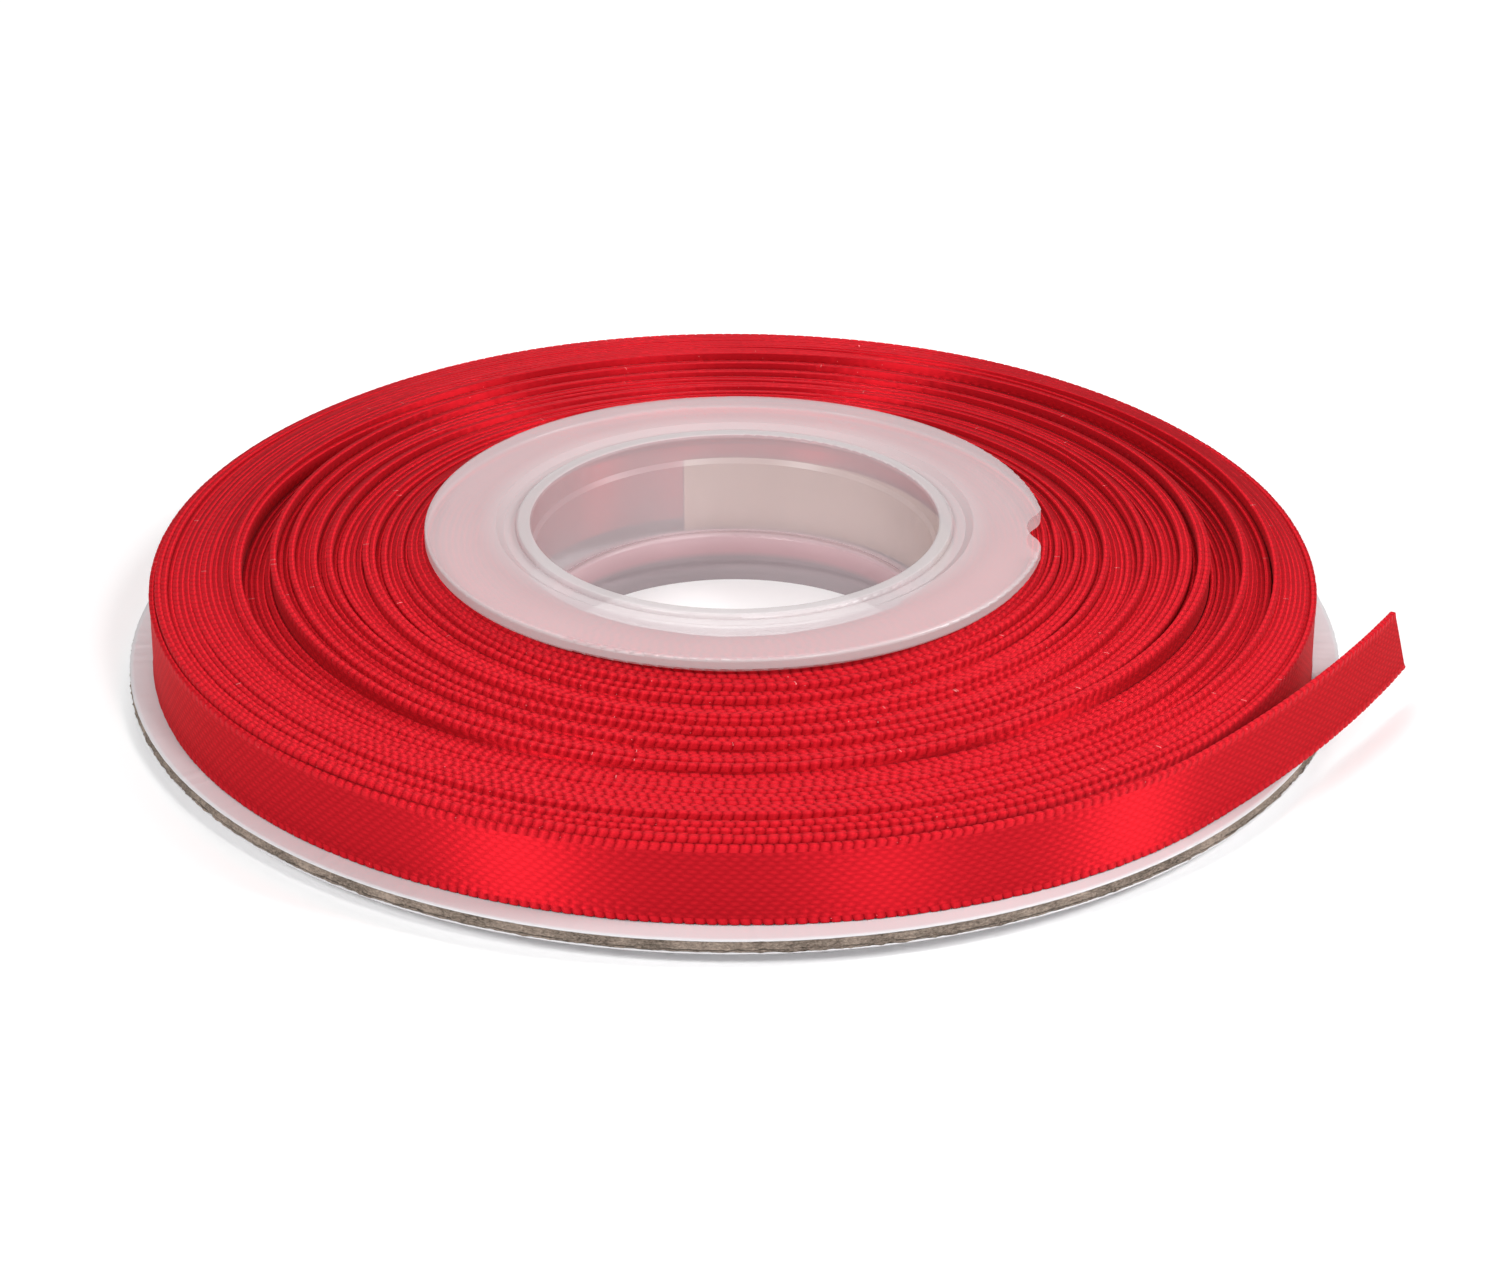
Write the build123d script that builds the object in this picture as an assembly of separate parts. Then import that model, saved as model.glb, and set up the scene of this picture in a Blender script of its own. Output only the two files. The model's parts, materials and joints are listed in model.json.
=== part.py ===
"""Narrow satin ribbon on a cardboard-and-plastic spool.

Millimetres, +Z up. The origin is on the spool's axis, in the plane that the hub stands on.
The free end of the ribbon leaves the roll at its -Y side and heads for +X.
"""
from build123d import *
import math
import os

# Ribbon: a quarter-inch satin ribbon with corded selvages
RIBBON_WIDTH = 6.35
RIBBON_THICKNESS = 0.45

# Hub: two snapped-together polypropylene halves, each a flange on a short tube
HUB_HEIGHT = 12.8
BORE_RADIUS = 16.0
BORE_STEP_RADIUS = 15.75
BORE_STEP_LOW = 10.35
BORE_STEP_HIGH = 10.75
TUBE_RADIUS = 17.1
LIP_RADIUS = 17.25
LIP_RISE = 0.1
GROOVE_DEPTH = 0.45
GROOVE_FLOOR_RADIUS = 18.2
GROOVE_OUTER_RADIUS = 18.8
FLANGE_RADIUS = 24.4
FLANGE_THICKNESS = 1.15
FLANGE_EDGE_ROUND = 0.3
LIP_ROUND = 0.3

# Snap joint between the halves: the lower sleeve sits in a counterbore of the upper tube
SLEEVE_BORE_RADIUS = 15.3
SLEEVE_TOP = 4.15
COUNTERBORE_RADIUS = 16.45
SNAP_CLEARANCE = 0.03
BEAD_HEIGHT = 0.15
BEAD_LOW = 2.9
BEAD_HIGH = 3.5

# Notch in the upper flange's edge that traps the ribbon's end
NOTCH_RADIUS = 3.6
NOTCH_DEPTH = 1.4
NOTCH_CORNER_ROUND = 3.0
NOTCH_ANGLE = -3.5

# Disc: greyboard between two paper liners, loose on the tube
DISC_RADIUS = 48.0
DISC_HOLE_RADIUS = 17.35
BOARD_THICKNESS = 0.9
LINER_THICKNESS = 0.1
LINER_INSET = 0.1
AXIAL_PLAY = 0.05

# Start tape: holds the ribbon's inner end to the tube
TAPE_THICKNESS = 0.1
TAPE_START_ANGLE = -10.0
TAPE_SWEEP = 114.0
TAPE_BOTTOM = 3.9

# Wound turns, in three groups that lie at slightly different heights
ROLL_INNER_RADIUS = 17.3
INNER_GROUP_RADIUS = 28.4
MIDDLE_GROUP_RADIUS = 36.4
ROLL_RADIUS = 45.9
GROUP_GAP = 0.05
INNER_GROUP_LIFT = 1.95
MIDDLE_GROUP_LIFT = 0.95
ROLL_CORNER_ROUND = 0.3

# Free end: leaves the roll on a tangent and runs out over the disc's edge
FREE_END_ANGLE = -43.0
FREE_END_LENGTH = 32.5
FREE_END_BEND_RADIUS = 120.0
FREE_END_GAP = 0.55
FREE_END_CUT_SLANT = 3.3

# Levels that follow from the sizes above
flange_bottom_low = LIP_RISE
flange_bottom_high = flange_bottom_low + FLANGE_THICKNESS
disc_low = flange_bottom_high + AXIAL_PLAY
board_low = disc_low + LINER_THICKNESS
board_high = board_low + BOARD_THICKNESS
disc_high = board_high + LINER_THICKNESS
roll_low = disc_high + AXIAL_PLAY
flange_top_high = HUB_HEIGHT - LIP_RISE
flange_top_low = flange_top_high - FLANGE_THICKNESS


def turned(outline, rounded=()):
    """Solid of revolution about Z from (radius, height) points; rounded holds (point, radius) pairs."""
    profile = make_face(Polyline(*outline, close=True))
    for (radius, height), size in rounded:
        corner = [v for v in profile.vertices() if abs(v.X - radius) < 1e-6 and abs(v.Y - height) < 1e-6]
        profile = fillet(corner, size)
    return revolve(Plane.XZ * profile, Axis.Z)


def ring(inner_radius, outer_radius, low, high, corner_round=0.0):
    """Flat or tall ring about Z."""
    outline = [(inner_radius, low), (outer_radius, low), (outer_radius, high), (inner_radius, high)]
    rounded = [(point, corner_round) for point in outline] if corner_round else ()
    return turned(outline, rounded)


def hub_upper():
    """Upper half: flange, lip round the bore, groove and the tube that the ribbon is wound on."""
    groove_floor = HUB_HEIGHT - GROOVE_DEPTH
    groove_radius = COUNTERBORE_RADIUS + BEAD_HEIGHT + SNAP_CLEARANCE
    counterbore_top = SLEEVE_TOP + AXIAL_PLAY
    outline = [
        (BORE_STEP_RADIUS, counterbore_top),
        (BORE_STEP_RADIUS, BORE_STEP_LOW),
        (BORE_RADIUS, BORE_STEP_HIGH),
        (BORE_RADIUS, HUB_HEIGHT),
        (LIP_RADIUS, HUB_HEIGHT),
        (LIP_RADIUS, groove_floor),
        (GROOVE_FLOOR_RADIUS, groove_floor),
        (GROOVE_OUTER_RADIUS, flange_top_high),
        (FLANGE_RADIUS, flange_top_high),
        (FLANGE_RADIUS, flange_top_low),
        (TUBE_RADIUS, flange_top_low),
        (TUBE_RADIUS, disc_low),
        (COUNTERBORE_RADIUS, disc_low),
        (COUNTERBORE_RADIUS, BEAD_LOW),
        (groove_radius, BEAD_LOW + BEAD_HEIGHT),
        (groove_radius, BEAD_HIGH - BEAD_HEIGHT),
        (COUNTERBORE_RADIUS, BEAD_HIGH),
        (COUNTERBORE_RADIUS, counterbore_top),
    ]
    rounded = [
        ((BORE_RADIUS, HUB_HEIGHT), LIP_ROUND),
        ((LIP_RADIUS, HUB_HEIGHT), LIP_ROUND),
        ((FLANGE_RADIUS, flange_top_high), FLANGE_EDGE_ROUND),
        ((FLANGE_RADIUS, flange_top_low), FLANGE_EDGE_ROUND),
    ]
    return turned(outline, rounded) - ribbon_notch()


def ribbon_notch():
    """Rounded bite out of the flange's edge, near its +X side, with softened corners."""
    bite_centre = FLANGE_RADIUS + NOTCH_RADIUS - NOTCH_DEPTH
    outside = Rectangle(4 * NOTCH_RADIUS, 4 * NOTCH_RADIUS)
    outside = Pos(FLANGE_RADIUS + 2 * NOTCH_RADIUS - NOTCH_DEPTH, 0) * outside
    plain_edge = outside - Circle(FLANGE_RADIUS)
    bite = plain_edge + Pos(bite_centre, 0) * Circle(NOTCH_RADIUS)
    corner_x = (FLANGE_RADIUS**2 - NOTCH_RADIUS**2 + bite_centre**2) / (2 * bite_centre)
    corners = [v for v in bite.vertices() if abs(v.X - corner_x) < 1e-3 and abs(v.Y) < NOTCH_RADIUS]
    bite = fillet(corners, NOTCH_CORNER_ROUND)
    return extrude(Pos(0, 0, flange_top_low - 1) * Rot(0, 0, NOTCH_ANGLE) * bite, FLANGE_THICKNESS + 2)


def hub_lower():
    """Lower half: flange under the disc and the sleeve that snaps into the upper tube."""
    groove_ceiling = GROOVE_DEPTH
    sleeve_radius = COUNTERBORE_RADIUS - SNAP_CLEARANCE
    bead_radius = sleeve_radius + BEAD_HEIGHT
    outline = [
        (SLEEVE_BORE_RADIUS, 0),
        (LIP_RADIUS, 0),
        (LIP_RADIUS, groove_ceiling),
        (GROOVE_FLOOR_RADIUS, groove_ceiling),
        (GROOVE_OUTER_RADIUS, flange_bottom_low),
        (FLANGE_RADIUS, flange_bottom_low),
        (FLANGE_RADIUS, flange_bottom_high),
        (sleeve_radius, flange_bottom_high),
        (sleeve_radius, BEAD_LOW + SNAP_CLEARANCE),
        (bead_radius, BEAD_LOW + BEAD_HEIGHT + SNAP_CLEARANCE),
        (bead_radius, BEAD_HIGH - BEAD_HEIGHT - SNAP_CLEARANCE),
        (sleeve_radius, BEAD_HIGH - SNAP_CLEARANCE),
        (sleeve_radius, SLEEVE_TOP),
        (SLEEVE_BORE_RADIUS, SLEEVE_TOP),
    ]
    rounded = [
        ((SLEEVE_BORE_RADIUS, SLEEVE_TOP), LIP_ROUND),
        ((FLANGE_RADIUS, flange_bottom_low), FLANGE_EDGE_ROUND),
        ((FLANGE_RADIUS, flange_bottom_high), FLANGE_EDGE_ROUND),
    ]
    return turned(outline, rounded)


def disc_board():
    """Greyboard disc that carries the roll."""
    return ring(DISC_HOLE_RADIUS, DISC_RADIUS, board_low, board_high)


def liner_top():
    """White paper on the disc's upper face."""
    return ring(DISC_HOLE_RADIUS, DISC_RADIUS - LINER_INSET, board_high, disc_high)


def liner_bottom():
    """White paper on the disc's lower face."""
    return ring(DISC_HOLE_RADIUS, DISC_RADIUS - LINER_INSET, disc_low, board_low)


def start_tape():
    """Strip of paper tape wrapped part of the way round the tube, under the first turn."""
    inner = TUBE_RADIUS + AXIAL_PLAY
    outline = [
        (inner, TAPE_BOTTOM),
        (inner + TAPE_THICKNESS, TAPE_BOTTOM),
        (inner + TAPE_THICKNESS, TAPE_BOTTOM + RIBBON_WIDTH),
        (inner, TAPE_BOTTOM + RIBBON_WIDTH),
    ]
    profile = Plane.XZ * make_face(Polyline(*outline, close=True))
    return Rot(0, 0, TAPE_START_ANGLE) * revolve(profile, Axis.Z, TAPE_SWEEP)


def turns(inner_radius, outer_radius, lift):
    """One group of wound turns, as the solid ring that they fill."""
    low = roll_low + lift
    return ring(inner_radius, outer_radius, low, low + RIBBON_WIDTH, ROLL_CORNER_ROUND)


def free_end():
    """The last stretch of ribbon, standing on edge, with its slanted cut."""
    start_radius = ROLL_RADIUS + FREE_END_GAP + RIBBON_THICKNESS / 2
    start_angle = math.radians(FREE_END_ANGLE)
    start = Vector(start_radius * math.cos(start_angle), start_radius * math.sin(start_angle))
    centre_distance = start_radius - FREE_END_BEND_RADIUS
    centre = (centre_distance * math.cos(start_angle), centre_distance * math.sin(start_angle))
    sweep = math.degrees(FREE_END_LENGTH / FREE_END_BEND_RADIUS)
    outer_face = CenterArc(centre, FREE_END_BEND_RADIUS + RIBBON_THICKNESS / 2, FREE_END_ANGLE, sweep)
    inner_face = CenterArc(centre, FREE_END_BEND_RADIUS - RIBBON_THICKNESS / 2, FREE_END_ANGLE, sweep)
    tip_line = Line(outer_face @ 1, inner_face @ 1)
    start_line = Line(inner_face @ 0, outer_face @ 0)
    section = make_face([outer_face, tip_line, inner_face, start_line])
    section = section + Pos(start.X, start.Y) * Circle(RIBBON_THICKNESS / 2)
    strip = extrude(Pos(0, 0, roll_low) * section, RIBBON_WIDTH)
    tip = (outer_face @ 1 + inner_face @ 1) / 2
    heading = outer_face % 1
    along_tip = Plane(
        origin=(tip.X, tip.Y, roll_low),
        x_dir=(heading.X, heading.Y, 0),
        z_dir=(heading.Y, -heading.X, 0),
    )
    waste = Polyline(
        (0, 0),
        (-FREE_END_CUT_SLANT, RIBBON_WIDTH),
        (RIBBON_WIDTH, RIBBON_WIDTH),
        (RIBBON_WIDTH, 0),
        close=True,
    )
    return strip - extrude(along_tip * make_face(waste), RIBBON_WIDTH, both=True)


def main():
    """Write one STEP file per sub-part."""
    os.makedirs("parts", exist_ok=True)
    middle_start = INNER_GROUP_RADIUS + GROUP_GAP
    outer_start = MIDDLE_GROUP_RADIUS + GROUP_GAP
    subparts = {
        "hub_upper": hub_upper(),
        "hub_lower": hub_lower(),
        "disc_board": disc_board(),
        "liner_top": liner_top(),
        "liner_bottom": liner_bottom(),
        "start_tape": start_tape(),
        "ribbon_inner_turns": turns(ROLL_INNER_RADIUS, INNER_GROUP_RADIUS, INNER_GROUP_LIFT),
        "ribbon_middle_turns": turns(middle_start, MIDDLE_GROUP_RADIUS, MIDDLE_GROUP_LIFT),
        "ribbon_outer_turns": turns(outer_start, ROLL_RADIUS, 0.0),
        "ribbon_free_end": free_end(),
    }
    for name, solid in subparts.items():
        export_step(solid, f"parts/{name}.step")


main()
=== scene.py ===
import json
import math

import bpy
import numpy as np
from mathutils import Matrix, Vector, noise


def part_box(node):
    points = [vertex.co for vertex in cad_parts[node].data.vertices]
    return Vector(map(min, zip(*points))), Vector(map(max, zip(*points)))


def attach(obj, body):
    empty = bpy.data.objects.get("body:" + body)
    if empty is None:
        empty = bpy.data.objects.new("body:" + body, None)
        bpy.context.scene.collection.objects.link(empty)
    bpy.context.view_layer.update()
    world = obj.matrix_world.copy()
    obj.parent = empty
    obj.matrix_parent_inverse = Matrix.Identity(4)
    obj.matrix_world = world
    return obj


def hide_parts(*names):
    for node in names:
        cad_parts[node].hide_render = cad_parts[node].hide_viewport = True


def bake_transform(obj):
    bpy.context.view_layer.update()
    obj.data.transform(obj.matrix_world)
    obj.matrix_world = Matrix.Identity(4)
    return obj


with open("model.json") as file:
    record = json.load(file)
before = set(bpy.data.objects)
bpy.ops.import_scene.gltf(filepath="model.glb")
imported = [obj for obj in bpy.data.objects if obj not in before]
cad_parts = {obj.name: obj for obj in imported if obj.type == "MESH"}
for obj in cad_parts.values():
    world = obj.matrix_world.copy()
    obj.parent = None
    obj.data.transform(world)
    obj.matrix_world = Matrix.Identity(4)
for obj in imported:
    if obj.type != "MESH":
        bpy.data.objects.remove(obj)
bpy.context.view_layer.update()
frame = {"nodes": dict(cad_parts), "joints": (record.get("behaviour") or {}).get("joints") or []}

MM = 0.001
TAU = 2 * math.pi


def span(node):
    """A CAD node's lowest and highest corners, in millimetres."""
    low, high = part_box(node)
    return np.array(low) / MM, np.array(high) / MM


# ---------------------------------------------------------------- sizes, millimetres, from the frame
_, hub_high = span("hub_upper")
board_low, board_high = span("disc_board")
liner_low, liner_high = span("liner_top")
under_low, under_high = span("liner_bottom")
outer_low, outer_high = span("ribbon_outer_turns")

HUB_TOP = hub_high[2]
FLANGE_RADIUS = hub_high[1]
DISC_TOP = liner_high[2]
ROLL_LOW = outer_low[2]
RIBBON_WIDTH = outer_high[2] - outer_low[2]
# Radii that no node's box shows: the tube's outside and the hole in the board and liners
TUBE_RADIUS = 17.1
DISC_HOLE = 17.35

swing = next(joint for joint in frame["joints"] if joint["name"] == "free_end_swing")

# ---------------------------------------------------------------- ribbon: how it is woven, in millimetres
SELVAGE_HEIGHT = 0.5
SELVAGE_THICKNESS = 0.51
PACKED_THICKNESS = 0.43
# Thinner satin and cord for the last lap, which nothing presses on
SATIN_THICKNESS = 0.36
LAST_CORD = 0.46

# The selvage's beads: rings of corners along each one, and how far it has swelled at each ring
BEAD_PITCH = 0.8
BEAD_PHASES = (0.0, 0.16, 0.5, 0.84)
BEAD_SWELL = (0.0, 0.92, 1.0, 0.92)
# A plain edge has one ring every few beads instead
PLAIN_STEP = 3
PLAIN_SWELL = 0.7

# How far a bead leans along the ribbon, and how far its top drops between beads and differs from bead to bead
BEAD_SLANT = 0.12
BEAD_SAG = 0.13
BEAD_LUMP = 0.05
# A bead's top reaches this far down from the ribbon's edge
TOP_OF_BEAD = 0.2
# Share of its thickness that the cord loses between beads, and of that on its inner side
BEAD_DIP = 0.3
INNER_BEAD = 0.5
# Beads differ a little in thickness, by these shares
THINNEST_BEAD = -0.08
THICKEST_BEAD = 0.06
THICKNESS_SEED = 21
LUMP_SEED = 22
# How beaded the last lap's edge is at least
LAST_LAP_BEADED = 0.35

# The cord's outline: where its neck begins and ends beside the selvage's edge, how far its shoulder and brow
# lie below its top, how far from the middle its brow and crown lie, as shares of half its thickness, and how
# much of the bead they show
NECK_BELOW = 0.06
NECK_ABOVE = 0.16
SHOULDER_DROP = 0.1
BROW_DROP = 0.02
BROW = 0.9
CROWN = 0.5
BROW_BEAD = 0.8
# Where it isn't beaded, the cord is flatter: its crown is wider by this share
CROWN_SPREAD = 0.9
# Corners on the bare face, as shares of the ribbon's width
FACE_CORNERS = (0.3, 0.5, 0.7)

# Satin floats: length, spacing across the ribbon, and slant
FLOAT_LENGTH = 0.95
FLOAT_ROWS = 0.72
FLOAT_SLANT = 0.25

# ---------------------------------------------------------------- ribbon: how it is wound
CORE_RADIUS = 17.55
TURNS = 63
END_ANGLE = math.atan2(swing["pos_m"][1], swing["pos_m"][0])
FREE_BEND_RADIUS = 120.0
FREE_LENGTH = 32.0
FREE_CUT_SLANT = 3.3
# Length over which the rings turn until they lie along the slanted cut
CUT_REACH = 12.0

# The last part of the last lap stands off the roll
END_SLACK = 0.45
END_SLACK_LAPS = 0.12
# The outer laps bulge a little there too, where the cosine of the angle from the end is above BULGE_EDGE
END_BULGE = 0.45
BULGE_FIRST_LAP = 54
BULGE_EDGE = 0.6

# Slow waves in the laps' radius: height in mm, waves in a lap, and radians that they drift each lap
LAP_WAVES = (
    (0.09, 3, 0.35),
    (0.05, 7, -0.5),
)

# Random height of each lap and inside a lap: height in mm, seed, values in a lap
LAP_UNEVENNESS = (
    (0.02, 11, 1),
    (0.02, 12, 5),
)
# It fades out over the last laps
CALM_LAPS = 2
# Values kept past the last lap, for reading between two of them
SPARE_VALUES = 8

# Radius of some laps, at the roll's left, back, right and front: the roll isn't quite round
LAP_RADII = (
    (0.0, CORE_RADIUS, CORE_RADIUS, CORE_RADIUS, CORE_RADIUS),
    (25.0, 28.8, 28.9, 29.2, 29.1),
    (42.0, 36.5, 36.8, 37.1, 36.0),
    (48.0, 39.2, 39.5, 40.2, 38.9),
    (53.0, 41.5, 41.7, 42.05, 41.1),
    (53.5, 41.7, 41.9, 42.5, 41.3),
    (TURNS, 46.05, 45.85, 45.6, 45.7),
)

# How far the laps stand above the disc, in the same places
LAP_LIFTS = (
    (0.0, 2.4, 2.4, 2.4, 2.4),
    (2.0, 2.65, 2.65, 2.65, 2.65),
    (12.0, 2.65, 2.65, 2.65, 2.65),
    (15.0, 2.3, 2.3, 2.2, 2.1),
    (19.0, 1.8, 1.7, 1.6, 1.5),
    (25.0, 1.4, 1.3, 1.3, 1.1),
    (33.0, 1.3, 1.2, 1.2, 0.95),
    (42.0, 1.35, 1.2, 1.3, 0.85),
    (42.7, 0.05, 0.3, 0.25, 0.5),
    (47.0, 0.0, 0.25, 0.2, 0.5),
    (48.0, 1.0, 1.1, 0.9, 0.6),
    (50.0, 0.75, 1.05, 0.6, 0.55),
    (51.5, 0.65, 1.0, 0.05, 0.5),
    (53.2, 0.6, 0.95, 0.05, 0.5),
    (53.8, 0.55, 0.95, 0.6, 0.5),
    (59.2, 0.35, 0.8, 0.3, 0.35),
    (59.8, 0.15, 0.6, 0.1, 0.2),
    (TURNS, 0.05, 0.45, 0.0, 0.0),
)

# Laps that stand proud of their neighbours: lap number, laps over which each falls off to either side, and
# its rise in mm at the roll's left, back, right and front
PROUD_LAPS = (
    (15.5, 0.8, 0.15, 0.1, 0.25, 0.2),
    (17.2, 0.9, 0.3, 0.1, 0.4, 0.45),
    (20.0, 0.8, 0.3, 0.1, 0.4, 0.5),
    (22.6, 0.8, 0.25, 0.1, 0.35, 0.1),
    (25.2, 1.1, 0.7, 0.3, 0.7, 0.65),
    (29.5, 0.8, 0.15, 0.1, 0.1, 0.6),
    (31.8, 1.1, 0.7, 0.3, 0.85, 0.1),
    (35.0, 0.9, 0.5, 0.2, 0.1, 0.65),
    (38.6, 1.0, 0.6, 0.3, 0.7, 0.2),
    (41.7, 1.3, 0.9, 0.45, 1.0, 0.35),
    (48.0, 1.0, 0.7, 0.15, 0.7, 0.1),
    (53.8, 0.9, 0.0, 0.0, 0.5, 0.1),
    (55.6, 0.8, 0.0, 0.0, 0.0, 0.45),
    (58.6, 0.8, 0.0, 0.0, 0.0, 0.5),
    (60.3, 0.8, 0.35, 0.0, 0.1, 0.45),
    (61.8, 0.7, 0.4, 0.0, 0.2, 0.4),
)

# How steeply a proud lap falls off
RIDGE_STEEPNESS = 1.5

# How beaded the edge of the other laps looks, in the same places
BEADED_SIDES = (0.1, 0.03, 0.08, 1.0)
# and the edge of the proud ones
PROUD_BEADED_SIDES = (0.3, 0.05, 0.25, 1.0)


def around(angle, left, back, right, front):
    """A value that changes smoothly round the roll, given at its four sides."""
    mean = (left + back + right + front) / 4
    side = (right - left) / 2 * np.cos(angle) + (back - front) / 2 * np.sin(angle)
    return mean + side + (left + right - back - front) / 4 * np.cos(2 * angle)


def smooth(x):
    """An even step from 0 to 1 that starts and ends level."""
    x = np.clip(x, 0, 1)
    return x * x * (3 - 2 * x)


def lap_noise(turn, seed, per_lap):
    """Smooth random value along the winding, from -1 to 1, with some new values each lap."""
    values = np.random.default_rng(seed).uniform(-1, 1, TURNS * per_lap + SPARE_VALUES)
    place = np.clip(turn, 0, TURNS) * per_lap + 1
    cell = np.floor(place).astype(int)
    share = smooth(place - cell)
    return values[cell] * (1 - share) + values[cell + 1] * share


def by_lap(table, turn, angle):
    """Read a table of (lap, left, back, right, front) at each lap and angle."""
    laps = [row[0] for row in table]
    sides = [np.interp(turn, laps, [row[side] for row in table]) for side in (1, 2, 3, 4)]
    return around(angle, *sides)


def angle_at(turn):
    """Direction from the axis, after some laps."""
    return END_ANGLE + TAU * (turn - TURNS)


def ridge(turn, lap, reach):
    """1 along a proud lap, falling to 0 at its reach on either side."""
    return smooth(RIDGE_STEEPNESS - np.abs(turn - lap) / reach * RIDGE_STEEPNESS)


def proud_share(turn):
    """How much a lap stands proud of its neighbours, from 0 to 1."""
    share = 0 * turn
    for lap, reach, *_ in PROUD_LAPS:
        share = np.maximum(share, ridge(turn, lap, reach))
    return share


def winding(turn):
    """Centre radius and foot height of the ribbon, and its direction from the axis, after some laps."""
    angle = angle_at(turn)
    radius = by_lap(LAP_RADII, turn, angle)
    for height, waves, drift in LAP_WAVES:
        radius = radius + height * np.sin(waves * angle + drift * turn)
    beside_end = smooth((np.cos(angle - END_ANGLE) - BULGE_EDGE) / (1 - BULGE_EDGE))
    outward = smooth((turn - BULGE_FIRST_LAP) / (TURNS - BULGE_FIRST_LAP))
    radius = radius + END_BULGE * beside_end * outward
    radius = radius + END_SLACK * smooth((turn - (TURNS - END_SLACK_LAPS)) / END_SLACK_LAPS)
    uneven = sum(height * lap_noise(turn, seed, per_lap) for height, seed, per_lap in LAP_UNEVENNESS)
    lift = by_lap(LAP_LIFTS, turn, angle) + uneven * smooth((TURNS - turn) / CALM_LAPS)
    for lap, reach, *rises in PROUD_LAPS:
        lift = lift + around(angle, *rises) * ridge(turn, lap, reach)
    return radius, ROLL_LOW + np.clip(lift, 0, None), angle


def wound_table():
    """Arc length along the winding, as a table against the number of laps."""
    points_per_lap = 720
    turn = np.linspace(0, TURNS, TURNS * points_per_lap + 1)
    radius, _, angle = winding(turn)
    x, y = radius * np.cos(angle), radius * np.sin(angle)
    length = np.concatenate(([0], np.cumsum(np.hypot(np.diff(x), np.diff(y)))))
    return turn, length


TURN_TABLE, LENGTH_TABLE = wound_table()
WOUND_LENGTH = LENGTH_TABLE[-1]
BEAD_COUNT = math.ceil((WOUND_LENGTH + FREE_LENGTH) / BEAD_PITCH) + 2
UNEVEN_BEADS = np.random.default_rng(THICKNESS_SEED).uniform(THINNEST_BEAD, THICKEST_BEAD, BEAD_COUNT)
LUMPY_BEADS = np.random.default_rng(LUMP_SEED).uniform(-BEAD_LUMP, BEAD_LUMP, BEAD_COUNT)


def ribbon_line(s):
    """Point, outward direction and foot height of the ribbon at distance s mm from its inner end."""
    turn = np.interp(s, LENGTH_TABLE, TURN_TABLE)
    radius, foot, angle = winding(turn)
    x, y = radius * np.cos(angle), radius * np.sin(angle)
    out_x, out_y = np.cos(angle), np.sin(angle)
    beyond = np.clip(s - WOUND_LENGTH, 0, None)
    end_radius, end_foot, _ = winding(np.array([float(TURNS)]))
    bend = END_ANGLE + beyond / FREE_BEND_RADIUS
    centre_radius = end_radius[0] - FREE_BEND_RADIUS
    free_x = centre_radius * math.cos(END_ANGLE) + FREE_BEND_RADIUS * np.cos(bend)
    free_y = centre_radius * math.sin(END_ANGLE) + FREE_BEND_RADIUS * np.sin(bend)
    is_free = s > WOUND_LENGTH
    x, y = np.where(is_free, free_x, x), np.where(is_free, free_y, y)
    out_x, out_y = np.where(is_free, np.cos(bend), out_x), np.where(is_free, np.sin(bend), out_y)
    foot = np.where(is_free, end_foot[0], foot)
    return x, y, out_x, out_y, foot


def bead_at_lap(lap):
    """The selvage's bead nearest to a lap number."""
    return round(float(np.interp(lap, TURN_TABLE, LENGTH_TABLE)) / BEAD_PITCH)


# ---------------------------------------------------------------- ribbon: strips
def section(lower_selvage):
    """Cross-section corners, going round: side, share of the cord's thickness, height, share of the bead."""
    top = RIBBON_WIDTH
    neck = top - SELVAGE_HEIGHT
    outer = [
        (1, 0.0, neck - NECK_BELOW, 0.0),
        (1, 1.0, neck + NECK_ABOVE, 1.0),
        (1, 1.0, top - SHOULDER_DROP, 1.0),
        (BROW, 1.0, top - BROW_DROP, BROW_BEAD),
        (CROWN, 1.0, top, BROW_BEAD),
    ]
    inner = [(-side, share, height, INNER_BEAD * bead) for side, share, height, bead in reversed(outer)]
    if not lower_selvage:
        return [(1, 0.0, 0.0, 0.0)] + outer + inner + [(-1, 0.0, 0.0, 0.0)]
    foot_outer = [(side, share, top - height, bead) for side, share, height, bead in reversed(outer)]
    foot_inner = [(side, share, top - height, bead) for side, share, height, bead in reversed(inner)]
    face = [(1, 0.0, top * part, 0.0) for part in FACE_CORNERS]
    back = [(-1, 0.0, top * part, 0.0) for part in reversed(FACE_CORNERS)]
    return foot_outer + face + outer + inner + back + foot_inner


def ribbon_rings(first_bead, last_bead, beads):
    """A strip's rings of corners: distance along the ribbon in mm, bead, and how far it has swelled there."""
    phases, swells, step = (BEAD_PHASES, BEAD_SWELL, 1) if beads else ((0.0,), (PLAIN_SWELL,), PLAIN_STEP)
    starts = np.arange(first_bead, last_bead, step)
    places = (starts[:, None] + np.array(phases)[None, :]).ravel()
    s = np.append(places, last_bead) * BEAD_PITCH
    ring_bead = np.append(np.repeat(starts, len(phases)), last_bead)
    swell = np.append(np.tile(swells, len(starts)), swells[0])
    return s, ring_bead, swell


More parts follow.
